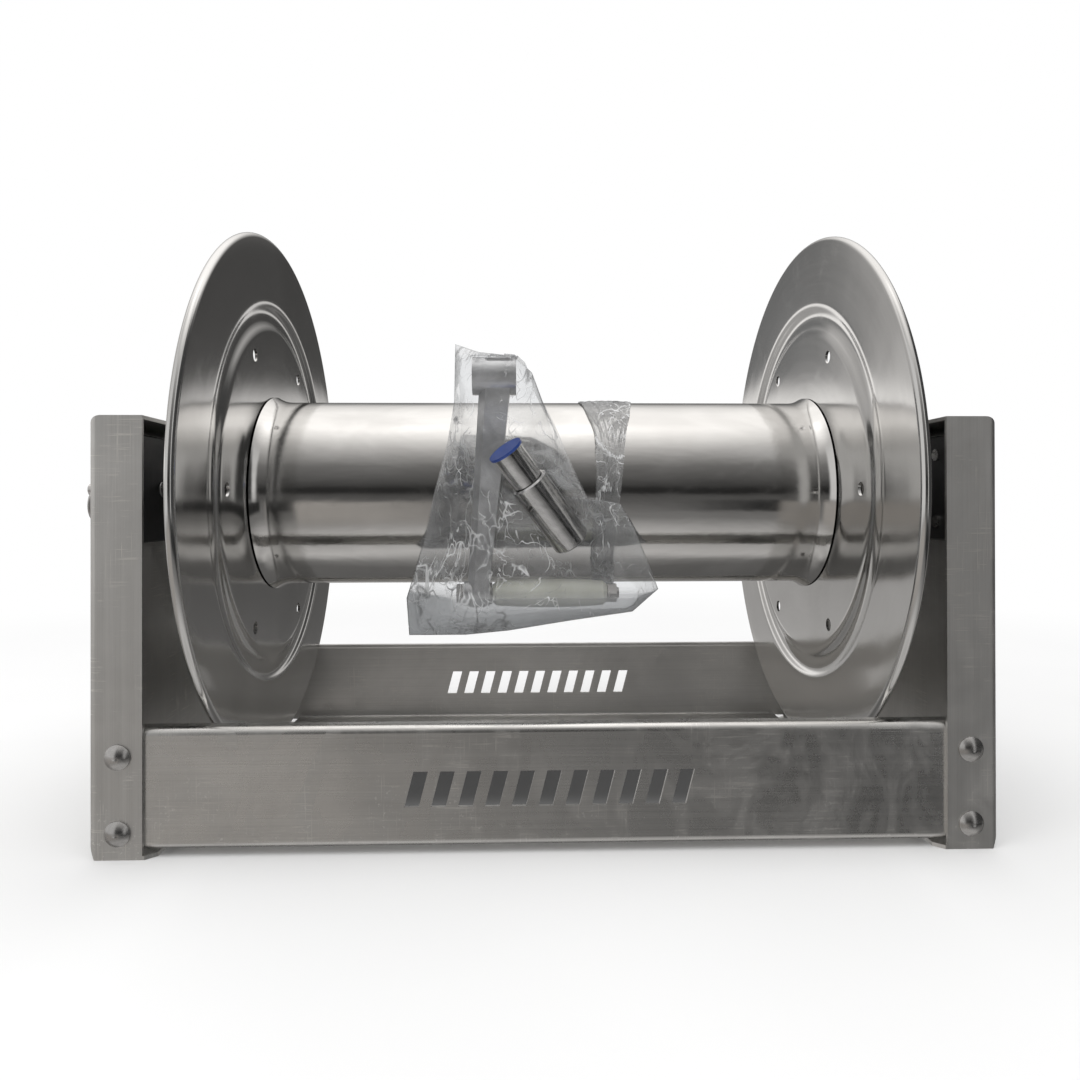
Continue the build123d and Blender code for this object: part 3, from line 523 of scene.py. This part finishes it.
def lathe(name, outline, segments=240, centre=(0.0, AXLE_HEIGHT)):
    """A closed outline of (x, radius) points turned about an axis along X through (y, z) = centre."""
    points, faces = [], []
    count = len(outline)
    for turn in range(segments):
        angle = 2 * math.pi * turn / segments
        for x, r in outline:
            points.append((x, centre[0] + r * math.cos(angle), centre[1] + r * math.sin(angle)))
        following = (turn + 1) % segments
        for number in range(count):
            beside = (number + 1) % count
            faces.append((turn * count + number, turn * count + beside,
                          following * count + beside, following * count + number))
    obj = link_mesh(name, points, faces)
    fix_normals(obj)
    return obj


def fix_normals(obj):
    bm = bmesh.new()
    bm.from_mesh(obj.data)
    bmesh.ops.recalc_face_normals(bm, faces=bm.faces)
    bm.to_mesh(obj.data)
    bm.free()
    smooth(obj)


def cut(obj, rods):
    """Cut round holes; rods are (middle, axis, radius, length)."""
    bm = bmesh.new()
    for middle, axis, radius, length in rods:
        turn = Vector(axis).to_track_quat("Z", "Y").to_matrix().to_4x4()
        bmesh.ops.create_cone(bm, cap_ends=True, segments=40, radius1=radius, radius2=radius, depth=length,
                              matrix=Matrix.Translation(middle) @ turn)
    mesh = bpy.data.meshes.new("cutter")
    bm.to_mesh(mesh)
    bm.free()
    cutter = bpy.data.objects.new("cutter", mesh)
    scene.collection.objects.link(cutter)
    modifier = obj.modifiers.new("holes", "BOOLEAN")
    modifier.operation = "DIFFERENCE"
    modifier.solver = "EXACT"
    modifier.object = cutter
    evaluated = obj.evaluated_get(bpy.context.evaluated_depsgraph_get())
    made = bpy.data.meshes.new_from_object(evaluated)
    obj.modifiers.clear()
    obj.data = made
    bpy.data.objects.remove(cutter)
    smooth(obj)


def make_disc(side, name):
    """A spun disc: flat web, pressed ring, rolled rim and lock holes."""
    near = DISC_PLANE
    far = near + DISC_SHEET
    rim = DISC_RADIUS - BEAD_RADIUS
    top = near + RING_DEPTH
    face = rounded([
        (near, SHAFT_HOLE, 0), (near, 0.060, 0), (near, 0.110, 0), (near, RING_INNER, 0.006),
        (top, RING_INNER + 0.007, 0.006), (top, RING_OUTER - 0.007, 0.006), (near, RING_OUTER, 0.007),
        (near, 0.175, 0), (near, 0.190, 0), (near, rim, 0),
    ])
    bead = []
    for step in range(1, 28):
        angle = math.pi - step * math.radians(10.0)
        bead.append((near + BEAD_RADIUS + BEAD_RADIUS * math.cos(angle), rim + BEAD_RADIUS * math.sin(angle)))
    back = rounded([
        (far, rim - 0.0030, 0), (far, 0.190, 0), (far, 0.175, 0), (far, RING_OUTER + 0.001, 0.006),
        (top + DISC_SHEET, RING_OUTER - 0.006, 0.006), (top + DISC_SHEET, RING_INNER + 0.006, 0.006),
        (far, RING_INNER - 0.001, 0.006), (far, 0.110, 0), (far, 0.060, 0), (far, SHAFT_HOLE, 0),
    ])
    outline = [(side * x, r) for x, r in face + bead + back]
    disc = lathe(name, outline)
    middle = side * (near + far) / 2
    rods = []
    for number in range(LOCK_HOLES):
        angle = math.tau * number / LOCK_HOLES
        rods.append(((middle, -LOCK_CIRCLE * math.cos(angle), AXLE_HEIGHT + LOCK_CIRCLE * math.sin(angle)),
                     (1, 0, 0), LOCK_HOLE_RADIUS, 0.012))
    cut(disc, rods)
    return disc


def make_drum():
    """The drum tube with a flare at each end and the hole for the outlet at the back."""
    start = DISC_PLANE - SEAM - FLARE_LENGTH
    bow = (FLARE_LENGTH**2 + FLARE_RISE**2) / (2 * FLARE_RISE)
    outline = []
    for side in (-1, 1):
        half = []
        for step in range(13):
            along = FLARE_LENGTH * step / 12
            half.append((side * (start + along), DRUM_RADIUS + bow - math.sqrt(bow**2 - along**2)))
        middle = [(side * x, DRUM_RADIUS) for x in (0.05, 0.10, 0.15, 0.18)]
        outline += (middle + half) if side > 0 else (middle + half)[::-1]
    inner = [(x, r - DRUM_WALL) for x, r in outline][::-1]
    drum = lathe("drum_shell", outline + inner)
    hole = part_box("outlet_riser")
    centre = (hole[0] + hole[1]) / 2
    radius = (hole[1].x - hole[0].x) / 2 + 0.0008
    cut(drum, [((centre.x, DRUM_RADIUS, AXLE_HEIGHT), (0, 1, 0), radius, 0.03)])
    return drum


# ==== bag ==================================================================================
BAG_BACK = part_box("bag_back")[0].y
LEFT_EDGE = [(-103, 130), (-105, 158), (-100, 174), (-91, 205), (-84, 238), (-74, 276), (-69, 306), (-68, 350)]
RIGHT_EDGE = [(66, 147), (86, 164), (76, 190), (67, 212), (57, 229), (46, 231), (35, 229), (26, 246), (17, 266),
              (9, 285), (-1, 304), (-10, 328)]
LOW_EDGE = [(-103, 130), (-60, 130), (-28, 133), (17, 140), (66, 147)]
HIGH_EDGE = [(-68, 350), (-50, 344), (-24, 341), (-10, 328)]


def along(points, t):
    """The point at a share t of the way along a run of points."""
    places = [Vector(p) for p in points]
    lengths = [(b - a).length for a, b in zip(places, places[1:])]
    goal = t * sum(lengths)
    for a, b, length in zip(places, places[1:], lengths):
        if goal <= length:
            return a.lerp(b, goal / length)
        goal -= length
    return places[-1]


def patch(s, t):
    """A point of the bag's outline filled in, s across and t upwards, in millimetres (x, z)."""
    left, right = along(LEFT_EDGE, t), along(RIGHT_EDGE, t)
    low, high = along(LOW_EDGE, s), along(HIGH_EDGE, s)
    corners = (
        Vector(LEFT_EDGE[0]) * (1 - s) * (1 - t) + Vector(RIGHT_EDGE[0]) * s * (1 - t)
        + Vector(LEFT_EDGE[-1]) * (1 - s) * t + Vector(RIGHT_EDGE[-1]) * s * t
    )
    return left * (1 - s) + right * s + low * (1 - t) + high * t - corners


def capsule(x, z, start, end, height_start, height_end, radius):
    """(height, distance) over a round bar between two (x, z) points, in millimetres."""
    a, b = Vector(start), Vector(end)
    run = b - a
    t = max(0.0, min(1.0, (Vector((x, z)) - a).dot(run) / run.length_squared))
    distance = (Vector((x, z)) - a - run * t).length
    height = height_start + (height_end - height_start) * t
    return height, max(0.0, distance - radius)


# (start, end, height at start, height at end, radius) of what the bag lies over, (x, z) in millimetres
CONTENTS = [
    ((-36, 323), (-51, 163), 28.5, 28.5, 11.0),
    ((-49, 323), (-27, 323), 32.5, 32.5, 13.0),
    ((-30, 267), (19, 201), 65.0, 37.0, 14.0),
    ((-58, 163), (56, 163), 29.0, 29.0, 10.0),
]


def bag_depth(x, z, edge):
    """How far the front film stands off the back one at (x, z), given the distance to the edge."""
    tent = 0.0
    for start, end, height_start, height_end, radius in CONTENTS:
        height, away = capsule(x, z, start, end, height_start, height_end, radius)
        reach = 24.0 + 0.5 * height
        tent += max(0.0, height * (1 - away / reach)) ** 5
    tent = tent**0.2
    hem = min(1.0, edge / 16.0) ** 0.55
    return 1.0 + tent * hem


def creases(x, z, seed):
    """Wrinkles that run out from the swivel's foot and the tied neck, in millimetres."""
    total = 0.0
    for centre, count, size in (((50, 222), 9.0, 1.7), ((-46, 330), 6.0, 1.1), ((-95, 135), 7.0, 1.0)):
        dx, dz = x - centre[0], z - centre[1]
        angle, reach = math.atan2(dz, dx), math.hypot(dx, dz)
        value = noise.noise(Vector((angle * count / math.pi, reach * 0.012, seed + centre[0])))
        fold = (1 - abs(value) * 3.2)
        total += size * max(0.0, fold) ** 2 * math.exp(-reach / 95.0) * min(1.0, reach / 18.0)
    fine = noise.ridged_multi_fractal(Vector((x * 0.035, z * 0.030, seed)), 1.0, 2.1, 4, 1.0, 2.0)
    return total + 0.45 * fine


def bag_veil_and_shade(x, z, edge, wall):
    """How milky the film is: clear where it lies tight on something, milky along the hems. Values past 0.26
    darken the film as painted shade: the film below the drum gets a large term for that, and front hem edges
    can reach it too.
    """
    if wall < 0:
        # the last term is painted shade on the back film below the drum
        return 0.05 + 0.10 * math.exp(-edge / 5.0) + 0.24 * max(0.0, min(1.0, (166.0 - z) / 6.0))
    nearest = min(capsule(x, z, start, end, 0, 0, radius)[1] for start, end, _, _, radius in CONTENTS)
    away = capsule(x, z, *CONTENTS[2])[1]
    loose = min(1.0, nearest / 9.0)
    tight = min(1.0, away / 6.0)
    cloud = 0.5 + 0.5 * noise.noise(Vector((x * 0.03, z * 0.025, 4.0)))
    # painted shade: the film below the drum, under z = 166 mm
    shade_below_drum = max(0.0, min(1.0, (166.0 - z) / 6.0))
    return tight * (0.05 + 0.11 * loose * cloud + 0.14 * math.exp(-edge / 4.0) + 0.26 * shade_below_drum)


def put_veil_and_shade(film, veils_and_shade):
    attribute = film.data.attributes.new("veil", "FLOAT", "POINT")
    attribute.data.foreach_set("value", veils_and_shade)


def make_bag():
    """A tied bag of clear film: two walls that meet along the edges and stay open at the gathered mouth."""
    across, up = 150, 210
    points, faces, veils_and_shade = [], [], []
    index = {}

    def vertex(i, j, wall):
        s, t = i / across, j / up
        rim = i in (0, across) or j in (0, up)
        mouth = i == across and 0.42 < t < 0.60
        key = (i, j, 0 if rim and not mouth else wall)
        if key in index:
            return index[key]
        place = patch(s, t)
        x, z = place.x, place.y
        edge = min(s, 1 - s) * 120.0, min(t, 1 - t) * 200.0
        edge = min(edge)
        if wall > 0:
            swell = bag_depth(x, z, edge)
            pleat = creases(x, z, 2.0) * min(1.0, edge / 10.0)
            y = BAG_BACK * 1000 + 1.0 - swell - pleat + 0.4
            for start, end, height_start, height_end, radius in CONTENTS:
                height, away = capsule(x, z, start, end, height_start, height_end, radius)
                if away <= 0.5:
                    y = min(y, BAG_BACK * 1000 - height - 1.2 - 0.5 * pleat)
        else:
            y = BAG_BACK * 1000 + 0.2 + 0.6 * noise.noise(Vector((x * 0.05, z * 0.06, 9.0)))
        index[key] = len(points)
        points.append((x * MM, y * MM, z * MM))
        veils_and_shade.append(bag_veil_and_shade(x, z, edge, wall))
        return index[key]

    for wall in (1, -1):
        for i in range(across):
            for j in range(up):
                ring = [vertex(i, j, wall), vertex(i + 1, j, wall),
                        vertex(i + 1, j + 1, wall), vertex(i, j + 1, wall)]
                faces.append(ring if wall > 0 else ring[::-1])
    film = link_mesh("bag_film", points, faces, 180.0)
    put_veil_and_shade(film, veils_and_shade)
    return film


def make_neck():
    """The bag's gathered neck, pulled round the drum and tied: pleated, and narrow where twisted."""
    around_count, across = 260, 46
    points, faces = [], []
    for turn in range(around_count):
        angle = math.tau * turn / around_count  # from the front, upwards
        lift = math.degrees(angle)
        lift = lift - 360 if lift > 180 else lift
        spread = math.exp(-((lift - 82.0) / 42.0) ** 2)
        width = 19.0 + 25.0 * spread
        middle = 52.0 - 4.0 * math.cos(angle) + 3.0 * math.sin(2 * angle)
        for step in range(across + 1):
            s = step / across - 0.5
            ruffle = 1.0 + 0.10 * noise.noise(Vector((s * 3.0, angle * 4.0, 5.0)))
            x = middle + width * s * ruffle
            pleat = noise.ridged_multi_fractal(Vector((s * (7.0 + 5.0 * (1 - spread)), angle * 2.2, 1.0)),
                                               1.0, 2.2, 4, 1.0, 2.0)
            low = 0.8 + (1.0 - spread) * 1.5
            stand = (1.0 + 1.6 * (1 - spread)) * max(0.0, min(2.0, pleat)) * (1 - 2.6 * s * s)
            r = DRUM_RADIUS * 1000 + low + stand
            y, z = -r * math.cos(angle), AXLE_HEIGHT * 1000 + r * math.sin(angle)
            points.append((x * MM, y * MM, z * MM))
    row = across + 1
    for turn in range(around_count):
        following = (turn + 1) % around_count
        for step in range(across):
            here, there = turn * row + step, following * row + step
            faces.append((here, here + 1, there + 1, there))
    tail = link_mesh("bag_tail", points, faces, 180.0)
    put_veil_and_shade(tail, [0.16] * len(points))
    return tail


make_camera()
make_world()
make_floor()
make_lights()

STEEL = {
    "panel": brushed_steel("steel_panel", "z"),
    # the rail's scuffs and painted highlight reach further up its foot
    "rail": brushed_steel("steel_rail", "x", rough=0.26, scuff_highlight_top=0.12),
    "rear": brushed_steel("steel_rear", "x", tint=(0.86, 0.853, 0.835), rough=0.40),
    "spun": spun_steel("steel_spun"),
    "tube": drawn_tube("steel_tube"),
    "polished": plain_metal("steel_polished", (0.68, 0.67, 0.66), 0.12),
    "fastener": plain_metal("steel_fastener", (0.58, 0.57, 0.56), 0.24),
    "spring": plain_metal("steel_spring", (0.42, 0.42, 0.42), 0.25),
    "cast": plain_metal("cast_alloy", (0.75, 0.75, 0.755), 0.30, 420.0, 0.30, metallic=0.8),
}
BLACK = plastic("black_polymer", (0.018, 0.018, 0.019), (0.008, 0.008, 0.009), 0.42)
WASHER = plastic("washer_polymer", (0.62, 0.61, 0.57), (0.50, 0.49, 0.46), 0.40)
GRIP = plastic("grip_polymer", (0.66, 0.66, 0.60), (0.56, 0.56, 0.50), 0.35, through=0.25)
CAP = plastic("cap_polymer", (0.03, 0.08, 0.32), (0.02, 0.05, 0.22), 0.30, through=0.1)
FILM = clear_film("bag_film")

MATERIAL_OF = {
    "end_panel_left": "panel", "end_panel_right": "panel", "front_rail": "rail", "rear_rail": "rear",
    "disc_left": "spun", "disc_right": "spun", "drum_tube": "tube",
    "inlet_shaft": "polished", "outlet_riser": "polished", "outlet_adapter": "polished",
    "crank_shaft": "polished",
    "swivel_body": "polished", "swivel_stem": "polished", "lock_pin": "polished", "lock_spring": "spring",
    "crank_arm": "cast", "manifold_elbow": "cast", "hub_left": "cast", "hub_right": "cast",
}
OTHER = {
    "bearing_bar_left": BLACK, "bearing_bar_right": BLACK, "thrust_washer_left": WASHER,
    "thrust_washer_right": WASHER, "crank_grip": GRIP, "swivel_cap": CAP,
    "bag_front": FILM, "bag_back": FILM, "bag_neck": FILM,
}
for name, node in nodes.items():
    paint(node, OTHER[name] if name in OTHER else STEEL[MATERIAL_OF.get(name, "fastener")])


def stand_in(obj, body, slot, material, *replaced):
    """Paint a piece, hide the CAD nodes that it replaces, and let it ride on its body; the slot is not used."""
    paint(obj, material)
    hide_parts(*replaced)
    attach(obj, body)


for side, name in ((-1, "left"), (1, "right")):
    stand_in(make_disc(side, f"spun_disc_{name}"), "drum", "stainless_spun", STEEL["spun"], f"disc_{name}")
stand_in(make_drum(), "drum", "stainless_spun", STEEL["tube"], "drum_tube")
bag = make_bag()
stand_in(bag, "drum", "bag_film", FILM, "bag_front", "bag_back")
tail = make_neck()
stand_in(tail, "drum", "bag_film", FILM, "bag_neck")
